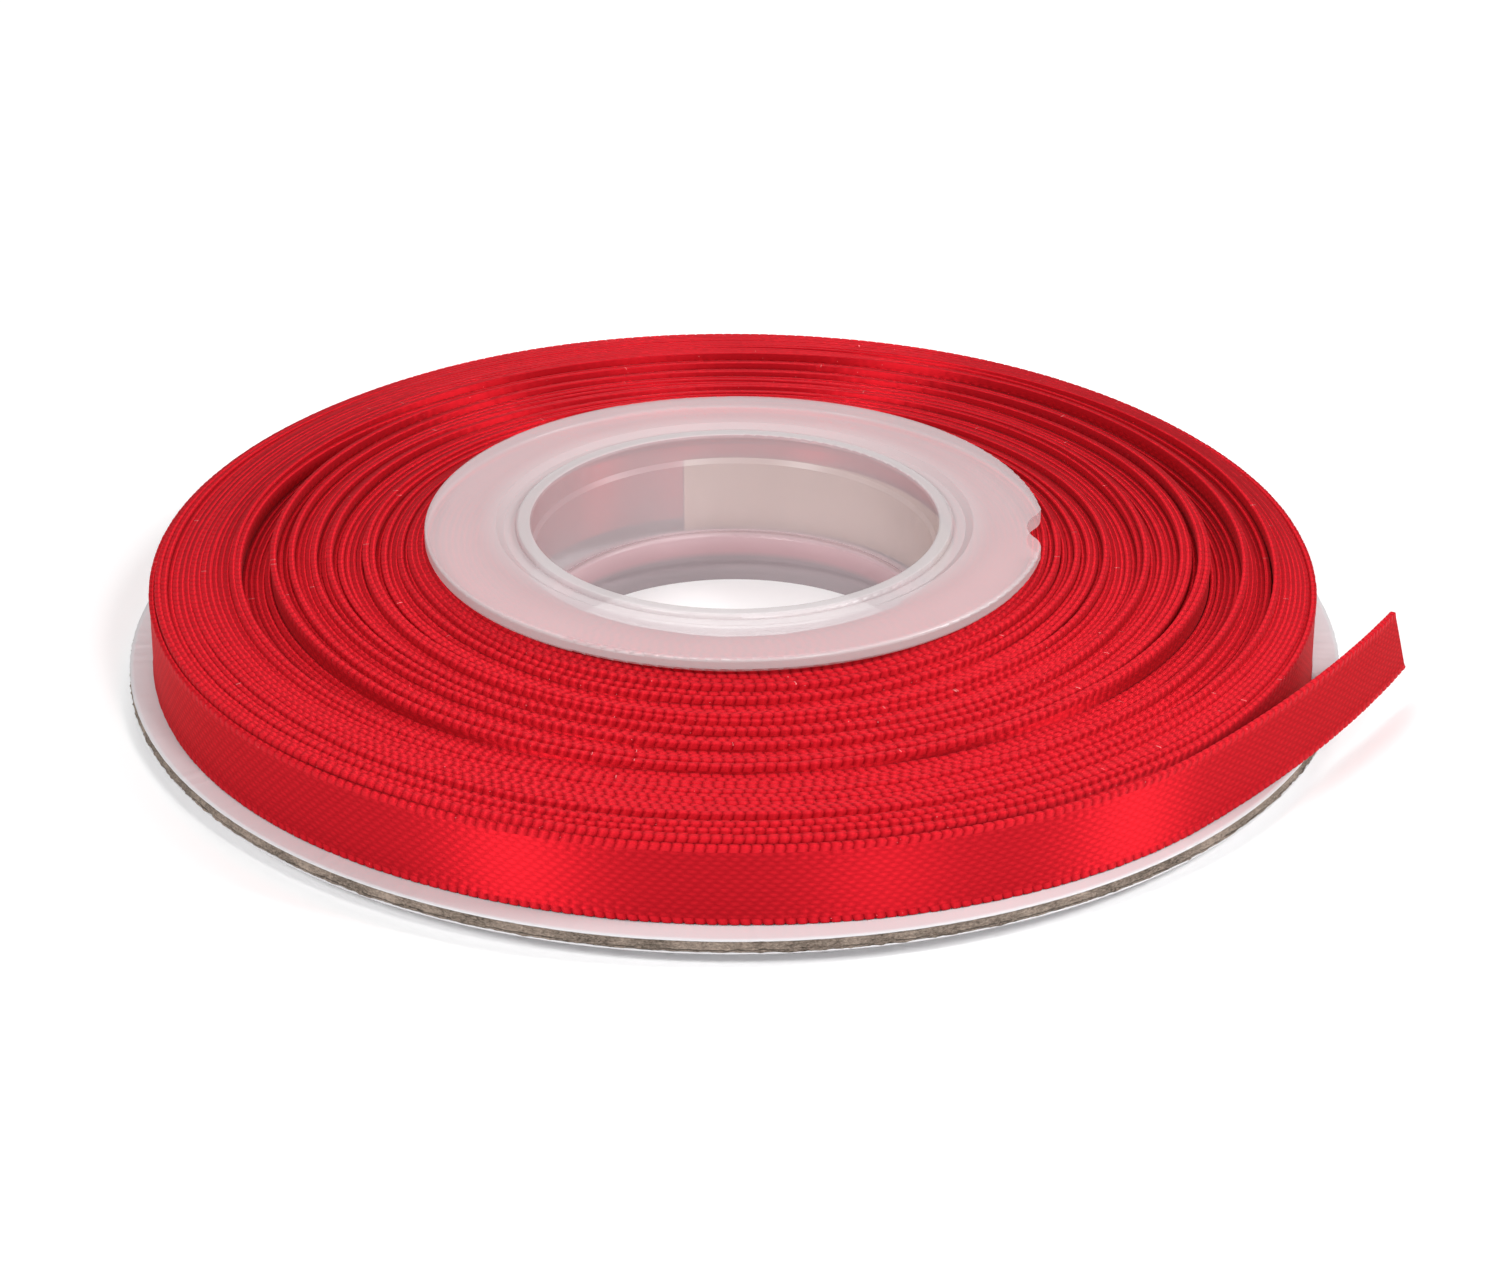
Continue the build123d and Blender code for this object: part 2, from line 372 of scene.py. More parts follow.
def how_beaded(s, lower_selvage):
    """How beaded the edge looks at each ring, and how far its beads differ in height, from 0 to 1."""
    turn = np.interp(s, LENGTH_TABLE, TURN_TABLE)
    angle = angle_at(turn)
    level = np.clip(around(angle, *BEADED_SIDES), 0, 1)
    if lower_selvage:
        return np.maximum(level, LAST_LAP_BEADED), 0 * level
    proud = np.clip(around(angle, *PROUD_BEADED_SIDES), 0, 1)
    return np.maximum(level, proud_share(turn) * proud), level


def ribbon_points(first_bead, last_bead, beads, lower_selvage, cut_end):
    """A strip's corners in mm, each ring's distance and how beaded it is, and each corner's height."""
    s, ring_bead, swell = ribbon_rings(first_bead, last_bead, beads)
    side, share, height, bead = (np.array(column) for column in zip(*section(lower_selvage)))
    upper = height > RIBBON_WIDTH / 2
    edge = np.where(upper, RIBBON_WIDTH - height, height)
    slant = BEAD_SLANT * bead * (1 - edge / SELVAGE_HEIGHT) if beads else 0 * bead
    run = s[:, None] + slant[None, :]
    if cut_end:
        over = np.clip((s - (s[-1] - CUT_REACH)) / CUT_REACH, 0, 1)[:, None]
        run = run - over * FREE_CUT_SLANT * (height[None, :] / RIBBON_WIDTH)
    x, y, out_x, out_y, foot = (value.reshape(run.shape) for value in ribbon_line(run.ravel()))

    beaded, lumpy = how_beaded(s, lower_selvage)
    dip = bead[None, :] * (1 - swell[:, None]) * beaded[:, None]
    satin, cord = (SATIN_THICKNESS, LAST_CORD) if lower_selvage else (PACKED_THICKNESS, SELVAGE_THICKNESS)
    thick = satin + (cord - satin) * share[None, :]
    thick = thick * (1 - BEAD_DIP * dip) * (1 + UNEVEN_BEADS[ring_bead][:, None] * bead[None, :])
    spread = 1 + CROWN_SPREAD * (np.abs(side) == CROWN)[None, :] * (1 - beaded[:, None])
    offset = side[None, :] * spread * thick / 2
    on_top = (share[None, :] > 0) & (edge[None, :] < TOP_OF_BEAD)
    lump = LUMPY_BEADS[ring_bead][:, None] * lumpy[:, None]
    sag = (BEAD_SAG * dip + lump) * on_top * np.where(upper, 1, -1)[None, :]
    points = np.stack([x + out_x * offset, y + out_y * offset, foot + height[None, :] - sag], axis=-1)
    return points, s, beaded, height


def strip_mesh(name, points):
    """A closed mesh through rings of corners, smooth along its length and flat at both ends."""
    rings, corners = points.shape[:2]
    index = np.arange(rings * corners).reshape(rings, corners)
    beside = np.roll(index, -1, axis=1)
    faces = np.stack([index[:-1], index[1:], beside[1:], beside[:-1]], axis=-1).reshape(-1, 4).tolist()
    faces.append(index[0].tolist())
    faces.append(index[-1][::-1].tolist())
    mesh = bpy.data.meshes.new(name)
    mesh.from_pydata((points.reshape(-1, 3) * MM).tolist(), [], faces)
    mesh.update()
    is_smooth = np.ones(len(mesh.polygons), dtype=bool)
    is_smooth[-2:] = False
    mesh.polygons.foreach_set("use_smooth", is_smooth)
    edge_rings = np.empty(2 * len(mesh.edges), dtype=np.int32)
    mesh.edges.foreach_get("vertices", edge_rings)
    edge_rings = edge_rings.reshape(-1, 2) // corners
    round_end = (edge_rings[:, 0] == edge_rings[:, 1]) & np.isin(edge_rings[:, 0], (0, rings - 1))
    mesh.edges.foreach_set("use_edge_sharp", round_end)
    return mesh


def add_uv(mesh, layer_name, u, v):
    """Fill a UV map from one u and one v for each vertex."""
    loops = np.empty(len(mesh.loops), dtype=np.int32)
    mesh.loops.foreach_get("vertex_index", loops)
    layer = mesh.uv_layers.new(name=layer_name)
    layer.data.foreach_set("uv", np.stack([u[loops], v[loops]], axis=-1).astype(np.float32).ravel())


def new_piece(name, mesh):
    """An object for a mesh, in the scene."""
    piece = bpy.data.objects.new(name, mesh)
    bpy.context.scene.collection.objects.link(piece)
    return piece


def ribbon_strip(name, first_bead, last_bead, beads=True, lower_selvage=False, cut_end=False):
    """One closed strip of ribbon from one bead of its selvage to another; cut_end makes it the free one.

    Its UV map "weave" holds distance along and across the ribbon in mm, "beaded" how beaded the edge looks.
    """
    points, s, beaded, height = ribbon_points(first_bead, last_bead, beads, lower_selvage, cut_end)
    rings, corners = points.shape[:2]
    mesh = strip_mesh(name, points)
    add_uv(mesh, "weave", np.repeat(s, corners), np.tile(height, rings))
    strength = np.repeat(beaded, corners)
    add_uv(mesh, "beaded", strength, 0 * strength)
    return new_piece(name, mesh)


# ---------------------------------------------------------------- turned parts
def lathe(name, outline, segments, shape):
    """Closed turned piece from (radius, height) points in mm; shape(angle, radius, height) may move them."""
    angles = TAU * np.arange(segments) / segments
    radius, height = (np.array(column) for column in zip(*outline))
    angle_grid, radius_grid = np.meshgrid(angles, radius, indexing="ij")
    height_grid = np.tile(height, (segments, 1))
    if shape:
        radius_grid, height_grid = shape(angle_grid, radius_grid, height_grid)
    grids = [radius_grid * np.cos(angle_grid), radius_grid * np.sin(angle_grid), height_grid]
    points = np.stack(grids, axis=-1).reshape(-1, 3) * MM
    index = np.arange(segments * len(outline)).reshape(segments, len(outline))
    following = np.roll(index, -1, axis=0)
    corners = [index, following, np.roll(following, -1, axis=1), np.roll(index, -1, axis=1)]
    faces = np.stack(corners, axis=-1).reshape(-1, 4).tolist()
    mesh = bpy.data.meshes.new(name)
    mesh.from_pydata(points.tolist(), [], faces)
    mesh.update()
    mesh.polygons.foreach_set("use_smooth", np.ones(len(mesh.polygons), dtype=bool))
    return new_piece(name, mesh)


# ---------------------------------------------------------------- materials: helpers
def new_material(name):
    """A new material, its node tree and its shader."""
    material = bpy.data.materials.new(name)
    material.use_nodes = True
    tree = material.node_tree
    return material, tree, tree.nodes["Principled BSDF"]


def add(tree, kind, **settings):
    """A new node, with its properties and its inputs' values set by name."""
    node = tree.nodes.new(kind)
    for key, value in settings.items():
        if key in node.bl_rna.properties:
            setattr(node, key, value)
        else:
            node.inputs[key.replace("_", " ")].default_value = value
    return node


def calc(tree, operation, first, second=None):
    """Output of a new math node; first and second are numbers or sockets."""
    node = tree.nodes.new("ShaderNodeMath")
    node.operation = operation
    for socket, value in zip(node.inputs, (first, second)):
        if value is None:
            continue
        if isinstance(value, (int, float)):
            socket.default_value = value
        else:
            tree.links.new(value, socket)
    return node.outputs[0]


def texture(tree, kind, coordinates, **settings):
    """A new texture or mapping node that reads some coordinates."""
    node = add(tree, kind, **settings)
    tree.links.new(coordinates, node.inputs["Vector"])
    return node


def step(tree, value, start, end, low=0.0, high=1.0):
    """Output that goes smoothly from low to high while a value in m passes from start to end, in mm."""
    node = add(tree, "ShaderNodeMapRange", interpolation_type="SMOOTHSTEP")
    node.inputs["From Min"].default_value = start * MM
    node.inputs["From Max"].default_value = end * MM
    node.inputs["To Min"].default_value = low
    node.inputs["To Max"].default_value = high
    tree.links.new(value, node.inputs["Value"])
    return node.outputs[0]


def mix_colours(tree, share, first, second):
    """Colour output of a new node that mixes two colours, which are numbers or sockets."""
    node = add(tree, "ShaderNodeMixRGB", blend_type="MIX")
    tree.links.new(share, node.inputs["Fac"])
    for socket, colour in ((node.inputs["Color1"], first), (node.inputs["Color2"], second)):
        if isinstance(colour, tuple):
            socket.default_value = colour
        else:
            tree.links.new(colour, socket)
    return node.outputs[0]


def add_bump(tree, shader, height, strength, depth):
    """Make the surface look uneven, by a depth in mm."""
    node = add(tree, "ShaderNodeBump", Strength=strength, Distance=depth * MM)
    tree.links.new(height, node.inputs["Height"])
    tree.links.new(node.outputs[0], shader.inputs["Normal"])


# ---------------------------------------------------------------- materials: ribbon
# Ends of the red: the dark end is painted shade in the gaps between beads and floats, the bright end painted
# light on their raised tops
RIBBON_DARK = (0.29, 0.002, 0.006, 1)
RIBBON_BRIGHT = (0.76, 0.016, 0.028, 1)
# Colour of the painted glints
PAINTED_GLINT_COLOUR = (0.95, 0.50, 0.48, 1)

# Relief of the face, in shares of the weave's depth: its floats, the grooves between rows, its mean
FLOAT_RELIEF = 0.26
GROOVE_RELIEF = 0.12
FLOAT_MEAN = 0.6
# Random shift of the floats, in radians
FLOAT_WOBBLE = 0.9
# Relief of a bead: the power that rounds its profile, its height, and how far below zero the gaps lie, where
# they take the full painted shade
BEAD_ROUNDNESS = 0.7
BEAD_RELIEF = 1.2
BEAD_GAP = 0.45
# How much fine fibres add to the relief
FIBRE_RELIEF = 0.8
# How much the relief and the fibres brighten the colour: from the relief, painted light on raised floats and
# beads and painted shade in the gaps; from the fibres, random tone
RELIEF_PAINTS_LIGHT_AND_SHADE = 0.65
FIBRES_BRIGHTEN = 0.45
# Noise cells of the fibres in a mm along and across the ribbon
FIBRE_CELLS = (2.5, 16.0, 1.0)
# Painted glints, small highlights put into the colour: cells in a mm, radius in cells, share of the cells
# that have none, and how bright they are
GLINT_CELLS = 4.5
GLINT_RADIUS = 0.16
NO_GLINT = 0.975
GLINT_STRENGTH = 0.5
# Metal-like sheen of the satin, and how much of it the beads lose
SATIN_METALLIC = 0.6
BEADS_LOSE = 0.45


def weave_relief(tree, u, v, shift, on_face, beaded):
    """Relief of the ribbon, for its bumps and its painted light and shade: staggered floats on the face,
    beads on the cord; u and v are in mm.
    """
    slanted = calc(tree, "ADD", u, calc(tree, "MULTIPLY", v, FLOAT_SLANT))
    u_turn = calc(tree, "ADD", calc(tree, "MULTIPLY", slanted, TAU / FLOAT_LENGTH), shift)
    v_turn = calc(tree, "ADD", calc(tree, "MULTIPLY", v, TAU / FLOAT_ROWS), shift)
    lattice = calc(tree, "MULTIPLY", calc(tree, "COSINE", u_turn), calc(tree, "COSINE", v_turn))
    rows = calc(tree, "COSINE", calc(tree, "MULTIPLY", v_turn, 2.0))
    base = calc(tree, "ADD", calc(tree, "MULTIPLY", rows, GROOVE_RELIEF), FLOAT_MEAN)
    floats = calc(tree, "ADD", calc(tree, "MULTIPLY", lattice, FLOAT_RELIEF), base)

    bead_wave = calc(tree, "SINE", calc(tree, "MULTIPLY", u, math.pi / BEAD_PITCH))
    bead = calc(tree, "POWER", calc(tree, "ABSOLUTE", bead_wave), BEAD_ROUNDNESS)
    missing = calc(tree, "MULTIPLY", calc(tree, "SUBTRACT", 1.0, bead), beaded)
    bead = calc(tree, "MULTIPLY", calc(tree, "SUBTRACT", 1.0, missing), BEAD_RELIEF)
    bead = calc(tree, "SUBTRACT", bead, BEAD_GAP)

    relief = add(tree, "ShaderNodeMix", data_type="FLOAT")
    tree.links.new(on_face, relief.inputs["Factor"])
    tree.links.new(bead, relief.inputs["A"])
    tree.links.new(floats, relief.inputs["B"])
    return relief.outputs[0]


def painted_glint_share(tree, coordinates, on_cord):
    """Share of the painted glint colour: a few small painted highlights on the cord."""
    cells = texture(tree, "ShaderNodeTexVoronoi", coordinates, Scale=GLINT_CELLS)
    chance = texture(tree, "ShaderNodeTexWhiteNoise", cells.outputs["Position"], noise_dimensions="3D")
    is_near = calc(tree, "LESS_THAN", cells.outputs["Distance"], GLINT_RADIUS)
    is_picked = calc(tree, "GREATER_THAN", chance.outputs["Value"], NO_GLINT)
    is_glint = calc(tree, "MULTIPLY", calc(tree, "MULTIPLY", is_near, is_picked), on_cord)
    return calc(tree, "MULTIPLY", is_glint, GLINT_STRENGTH)


def ribbon_material():
    """Red satin: staggered floats on the face, beaded cord along the edges, painted light and shade on their
    relief, a few painted glints.
    """
    material, tree, shader = new_material("ribbon_satin")
    link = tree.links.new
    weave = add(tree, "ShaderNodeUVMap", uv_map="weave").outputs[0]
    split = add(tree, "ShaderNodeSeparateXYZ")
    link(weave, split.inputs[0])
    u, v = split.outputs[0], split.outputs[1]
    split_beaded = add(tree, "ShaderNodeSeparateXYZ")
    link(add(tree, "ShaderNodeUVMap", uv_map="beaded").outputs[0], split_beaded.inputs[0])
    beaded = split_beaded.outputs[0]
    from_middle = calc(tree, "ABSOLUTE", calc(tree, "SUBTRACT", v, RIBBON_WIDTH / 2))
    on_face = calc(tree, "LESS_THAN", from_middle, RIBBON_WIDTH / 2 - SELVAGE_HEIGHT)
    on_cord = calc(tree, "SUBTRACT", 1.0, on_face)

    wobble = texture(tree, "ShaderNodeTexNoise", weave, Scale=1.3, Detail=2.0)
    shift = calc(tree, "MULTIPLY", wobble.outputs["Fac"], FLOAT_WOBBLE)
    relief = weave_relief(tree, u, v, shift, on_face, beaded)
    stretched = texture(tree, "ShaderNodeMapping", weave, Scale=FIBRE_CELLS).outputs[0]
    fibre = texture(tree, "ShaderNodeTexNoise", stretched, Scale=1.0, Detail=3.0).outputs["Fac"]
    height = calc(tree, "ADD", relief, calc(tree, "MULTIPLY", fibre, FIBRE_RELIEF))
    add_bump(tree, shader, height, strength=0.5, depth=0.04)

    # Painted light and shade: the colour is lighter on raised floats and beads, darker in the gaps between
    # them
    painted_relief_light = calc(tree, "MULTIPLY", relief, RELIEF_PAINTS_LIGHT_AND_SHADE)
    painted_light_shade_and_tone = calc(tree, "ADD", painted_relief_light, calc(tree, "MULTIPLY", fibre, FIBRES_BRIGHTEN))
    red = mix_colours(tree, painted_light_shade_and_tone, RIBBON_DARK, RIBBON_BRIGHT)
    # Painted highlights: a few glints mixed into the colour
    colour = mix_colours(tree, painted_glint_share(tree, weave, on_cord), red, PAINTED_GLINT_COLOUR)
    link(colour, shader.inputs["Base Color"])

    along = add(tree, "ShaderNodeTangent", direction_type="UV_MAP", uv_map="weave")
    link(along.outputs[0], shader.inputs["Tangent"])
    lost = calc(tree, "MULTIPLY", calc(tree, "MULTIPLY", beaded, on_cord), BEADS_LOSE)
    link(calc(tree, "SUBTRACT", SATIN_METALLIC, lost), shader.inputs["Metallic"])
    shader.inputs["Roughness"].default_value = 0.5
    shader.inputs["Anisotropic"].default_value = 1.0
    shader.inputs["Anisotropic Rotation"].default_value = 0.25
    shader.inputs["Specular IOR Level"].default_value = 0.12
    shader.inputs["Specular Tint"].default_value = (1.0, 0.25, 0.25, 1)
    shader.inputs["Sheen Weight"].default_value = 0.03
    shader.inputs["Sheen Roughness"].default_value = 0.5
    shader.inputs["Sheen Tint"].default_value = (1.0, 0.5, 0.56, 1)
    return material


# ---------------------------------------------------------------- materials: hub
# Milky plastic; its pink tint is painted red light from the ribbon
PLASTIC_DARK = (0.74, 0.64, 0.66, 1)
PLASTIC_LIGHT = (0.82, 0.72, 0.74, 1)
# Where the plastic is thick it hides the ribbon's red
PLASTIC_GREY = (0.52, 0.475, 0.48, 1)

# Colour of the bore below a height of BORE_SHADE_TOP: painted shade, grey, where the two tubes overlap low
# down, and painted red light from the ribbon, pink, just above
BORE_SHADE_TOP = 5.0
BORE_SHADE_STOPS = (
    (0.42, (0.55, 0.52, 0.53, 1)),
    (0.52, (0.80, 0.58, 0.60, 1)),
    (0.78, (0.92, 0.74, 0.76, 1)),
    (0.90, (1.0, 1.0, 1.0, 1)),
)

# Round the tube's radius the bore's painted shade and pink light, and the flange's opacity, fade in, in mm
FADE_OVERLAP = 0.1
FADE_WIDTH = 0.6

# Thick places, in mm: the lip's top, the flange's rim, and how near their surface they are fully thick
LIP_DEPTH = 0.09
RIM_WIDTH = 0.25
THICK_FROM = 0.02
# The groove round the lip is thick, by this share, from inside the tube's radius to GROOVE_FULL outside it,
# and fades out at GROOVE_END; GROOVE_DEPTH keeps it in the upper flange
GROOVE_THICKNESS = 0.55
GROOVE_INSIDE = 0.7
GROOVE_FULL = 0.9
GROOVE_END = 3.4
GROOVE_DEPTH = 1.2


def thick_share(tree, reach, height):
    """How thick the plastic is, from 0 to 1, at a distance from the axis and a height in m."""
    lip = step(tree, height, HUB_TOP - LIP_DEPTH, HUB_TOP - THICK_FROM)
    rim = step(tree, reach, FLANGE_RADIUS - RIM_WIDTH, FLANGE_RADIUS - THICK_FROM)
    fade = step(tree, reach, TUBE_RADIUS + GROOVE_END, TUBE_RADIUS + GROOVE_FULL, high=GROOVE_THICKNESS)
    past_tube = calc(tree, "GREATER_THAN", reach, (TUBE_RADIUS - GROOVE_INSIDE) * MM)
    in_flange = calc(tree, "GREATER_THAN", height, (HUB_TOP - GROOVE_DEPTH) * MM)
    groove = calc(tree, "MULTIPLY", fade, calc(tree, "MULTIPLY", past_tube, in_flange))
    return calc(tree, "MAXIMUM", lip, calc(tree, "MAXIMUM", rim, groove))


def bore_shade_and_pink_light(tree, height):
    """Painted shade and pink light that the bore's wall is multiplied by, at a height in m."""
    ramp = add(tree, "ShaderNodeValToRGB")
    stops = ramp.color_ramp.elements
    stops[0].position, stops[0].color = BORE_SHADE_STOPS[0]
    stops[1].position, stops[1].color = BORE_SHADE_STOPS[-1]
    for position, colour in BORE_SHADE_STOPS[1:-1]:
        stops.new(position).color = colour
    tree.links.new(calc(tree, "DIVIDE", height, BORE_SHADE_TOP * MM), ramp.inputs["Fac"])
    return ramp.outputs[0]


def hub_material(name, tube_alpha, flange_alpha, thick_alpha):
    """Frosted natural polypropylene: milky with a pink tint of painted ribbon light, lets colour through; low
    in the bore, where the tubes overlap, painted shade darkens it, with painted pink light just above.
    """
    material, tree, shader = new_material(name)
    link = tree.links.new
    place = add(tree, "ShaderNodeTexCoord").outputs["Object"]
    spot = add(tree, "ShaderNodeSeparateXYZ")
    link(place, spot.inputs[0])
    height = spot.outputs[2]
    level = add(tree, "ShaderNodeCombineXYZ")
    link(spot.outputs[0], level.inputs[0])
    link(spot.outputs[1], level.inputs[1])
    from_axis = add(tree, "ShaderNodeVectorMath", operation="LENGTH")
    link(level.outputs[0], from_axis.inputs[0])
    reach = from_axis.outputs["Value"]

    cloud = texture(tree, "ShaderNodeTexNoise", place, Scale=90.0, Detail=3.0)
    milky = mix_colours(tree, cloud.outputs["Fac"], PLASTIC_DARK, PLASTIC_LIGHT)
    # Painted shade and pink light inside the bore
    shaded_in_bore = add(tree, "ShaderNodeMixRGB", blend_type="MULTIPLY")
    link(step(tree, reach, TUBE_RADIUS + FADE_OVERLAP, TUBE_RADIUS - FADE_WIDTH), shaded_in_bore.inputs["Fac"])
    link(milky, shaded_in_bore.inputs["Color1"])
    link(bore_shade_and_pink_light(tree, height), shaded_in_bore.inputs["Color2"])
    thick = thick_share(tree, reach, height)
    link(mix_colours(tree, thick, shaded_in_bore.outputs[0], PLASTIC_GREY), shader.inputs["Base Color"])

    fade_start, fade_end = TUBE_RADIUS - FADE_OVERLAP, TUBE_RADIUS + FADE_WIDTH
    thin_alpha = step(tree, reach, fade_start, fade_end, tube_alpha, flange_alpha)
    alpha = add(tree, "ShaderNodeMix", data_type="FLOAT")
    link(thick, alpha.inputs["Factor"])
    link(thin_alpha, alpha.inputs["A"])
    alpha.inputs["B"].default_value = thick_alpha
    link(alpha.outputs[0], shader.inputs["Alpha"])

    grain = texture(tree, "ShaderNodeTexNoise", place, Scale=2600.0, Detail=2.0)
    add_bump(tree, shader, grain.outputs["Fac"], strength=0.25, depth=0.02)
    shader.inputs["Roughness"].default_value = 0.3
    shader.inputs["IOR"].default_value = 1.49
    return material


# ---------------------------------------------------------------- materials: disc, tape and floor
LINER_DARK = (0.57, 0.56, 0.575, 1)
LINER_LIGHT = (0.66, 0.65, 0.665, 1)


def liner_material():
    """White coated paper with a faint fibre."""
    material, tree, shader = new_material("liner_paper")
    place = add(tree, "ShaderNodeTexCoord").outputs["Object"]
    cloud = texture(tree, "ShaderNodeTexNoise", place, Scale=60.0, Detail=2.0)
    tint = mix_colours(tree, cloud.outputs["Fac"], LINER_DARK, LINER_LIGHT)
    tree.links.new(tint, shader.inputs["Base Color"])
    fibre = texture(tree, "ShaderNodeTexNoise", place, Scale=1500.0, Detail=4.0)
    add_bump(tree, shader, fibre.outputs["Fac"], strength=0.2, depth=0.02)
    shader.inputs["Roughness"].default_value = 0.38
    return material


BOARD_STOPS = (
    (0.38, (0.06, 0.044, 0.032, 1)),
    (0.62, (0.33, 0.26, 0.21, 1)),
)
# The fibres lie flat: their noise is finer in height than across
FIBRE_SQUASH = (1.0, 1.0, 2.2)
# Shares of fine fibres and broad patches in the board's mottling
FIBRE_SHARE = 0.65
PATCH_SHARE = 0.35

# The line where two plies meet, in mm: its height above the board's foot, half its width,
# and how far it wanders
PLY_LINE = 0.22
PLY_HALF_WIDTH = 0.05
PLY_WANDER = 0.25
PLY_COLOUR = (0.035, 0.026, 0.02, 1)
PLY_DARKNESS = 0.8
# It shows only where the patches are lighter than this
PLY_SHOWS = 0.46


def ply_share(tree, place, patches):
    """Share of the dark line between two plies, on the board's cut edge."""
    spot = add(tree, "ShaderNodeSeparateXYZ")
    tree.links.new(place, spot.inputs[0])
    up = calc(tree, "DIVIDE", calc(tree, "SUBTRACT", spot.outputs[2], board_low[2] * MM), MM)
    wander = calc(tree, "MULTIPLY", calc(tree, "SUBTRACT", patches, 0.5), PLY_WANDER)
    from_line = calc(tree, "ABSOLUTE", calc(tree, "SUBTRACT", calc(tree, "ADD", up, wander), PLY_LINE))
    is_line = calc(tree, "LESS_THAN", from_line, PLY_HALF_WIDTH)
    is_open = calc(tree, "MULTIPLY", is_line, calc(tree, "GREATER_THAN", patches, PLY_SHOWS))
    return calc(tree, "MULTIPLY", is_open, PLY_DARKNESS)


def board_material():
    """Recycled greyboard: mottled grey-brown fibres, in plies on the cut edge."""
    material, tree, shader = new_material("greyboard")
    place = add(tree, "ShaderNodeTexCoord").outputs["Object"]
    squashed = texture(tree, "ShaderNodeMapping", place, Scale=FIBRE_SQUASH).outputs[0]
    fibres = texture(tree, "ShaderNodeTexNoise", squashed, Scale=3600.0, Detail=5.0, Roughness=0.75)
    fibre = fibres.outputs["Fac"]
    patches = texture(tree, "ShaderNodeTexNoise", place, Scale=420.0, Detail=3.0).outputs["Fac"]
    ramp = add(tree, "ShaderNodeValToRGB")
    for element, (position, colour) in zip(ramp.color_ramp.elements, BOARD_STOPS):
        element.position = position
        element.color = colour
    from_fibre = calc(tree, "MULTIPLY", fibre, FIBRE_SHARE)
    mottling = calc(tree, "ADD", from_fibre, calc(tree, "MULTIPLY", patches, PATCH_SHARE))
    tree.links.new(mottling, ramp.inputs["Fac"])
    colour = mix_colours(tree, ply_share(tree, place, patches), ramp.outputs[0], PLY_COLOUR)
    tree.links.new(colour, shader.inputs["Base Color"])
    add_bump(tree, shader, fibre, strength=0.8, depth=0.06)
    shader.inputs["Roughness"].default_value = 0.9
    return material


TAPE_DARK = (0.50, 0.34, 0.24, 1)
TAPE_LIGHT = (0.64, 0.46, 0.34, 1)


def tape_material():
    """Beige crepe paper tape."""
    material, tree, shader = new_material("tape_paper")
    place = add(tree, "ShaderNodeTexCoord").outputs["Object"]
    crepe = texture(tree, "ShaderNodeTexNoise", place, Scale=900.0, Detail=4.0).outputs["Fac"]
    tree.links.new(mix_colours(tree, crepe, TAPE_DARK, TAPE_LIGHT), shader.inputs["Base Color"])
    add_bump(tree, shader, crepe, strength=0.4, depth=0.03)
    shader.inputs["Roughness"].default_value = 0.8
    return material


def floor_material():
    """Plain pale floor."""
    material, _, shader = new_material("floor_white")
    shader.inputs["Base Color"].default_value = (0.93, 0.93, 0.93, 1)
    shader.inputs["Roughness"].default_value = 0.7
    return material


RIBBON = ribbon_material()
HUB_UPPER = hub_material("hub_polypropylene", tube_alpha=0.32, flange_alpha=0.36, thick_alpha=0.8)
HUB_LOWER = hub_material("hub_polypropylene_doubled", tube_alpha=0.6, flange_alpha=0.6, thick_alpha=0.6)
LINER = liner_material()
BOARD = board_material()
TAPE = tape_material()


# ---------------------------------------------------------------- CAD pieces
def dress_cad_pieces():
    """Materials of the pieces that are shown as the CAD made them."""
    for name, material in (("hub_upper", HUB_UPPER), ("hub_lower", HUB_LOWER), ("start_tape", TAPE)):
        for slot in frame["nodes"][name].material_slots:
            slot.material = material


def dress(piece, material, body):
    """Give a piece its material and the body that it rides on, if it rides on one."""
    piece.data.materials.append(material)
    if body:
        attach(piece, body)


# ---------------------------------------------------------------- ribbon pieces
# Laps below this one lie under the flange and have no beads
COVERED_LAP = 13
# From this lap on the ribbon shows both its edges
LAST_PIECE_LAP = TURNS - 1.25
# Name, first lap, last lap and the CAD node that the piece replaces
STRETCHES = (
    ("ribbon_covered_laps", 0, COVERED_LAP, "ribbon_inner_turns"),
    ("ribbon_inner_laps_a", COVERED_LAP, 19, "ribbon_inner_turns"),
    ("ribbon_inner_laps_b", 19, 25, "ribbon_inner_turns"),
    ("ribbon_middle_laps_a", 25, 31, "ribbon_middle_turns"),
    ("ribbon_middle_laps_b", 31, 37, "ribbon_middle_turns"),
    ("ribbon_middle_laps_c", 37, 42, "ribbon_middle_turns"),
    ("ribbon_outer_laps_a", 42, 47, "ribbon_outer_turns"),
    ("ribbon_outer_laps_b", 47, 52, "ribbon_outer_turns"),
    ("ribbon_outer_laps_c", 52, 57, "ribbon_outer_turns"),
    ("ribbon_outer_laps_d", 57, LAST_PIECE_LAP, "ribbon_outer_turns"),
)

# The piece with the free end begins this many beads before the hinge. That is under half a lap, so that all
# of its wound part lies behind the hinge and stays still when the end swings
FREE_PIECE_BEADS = 176


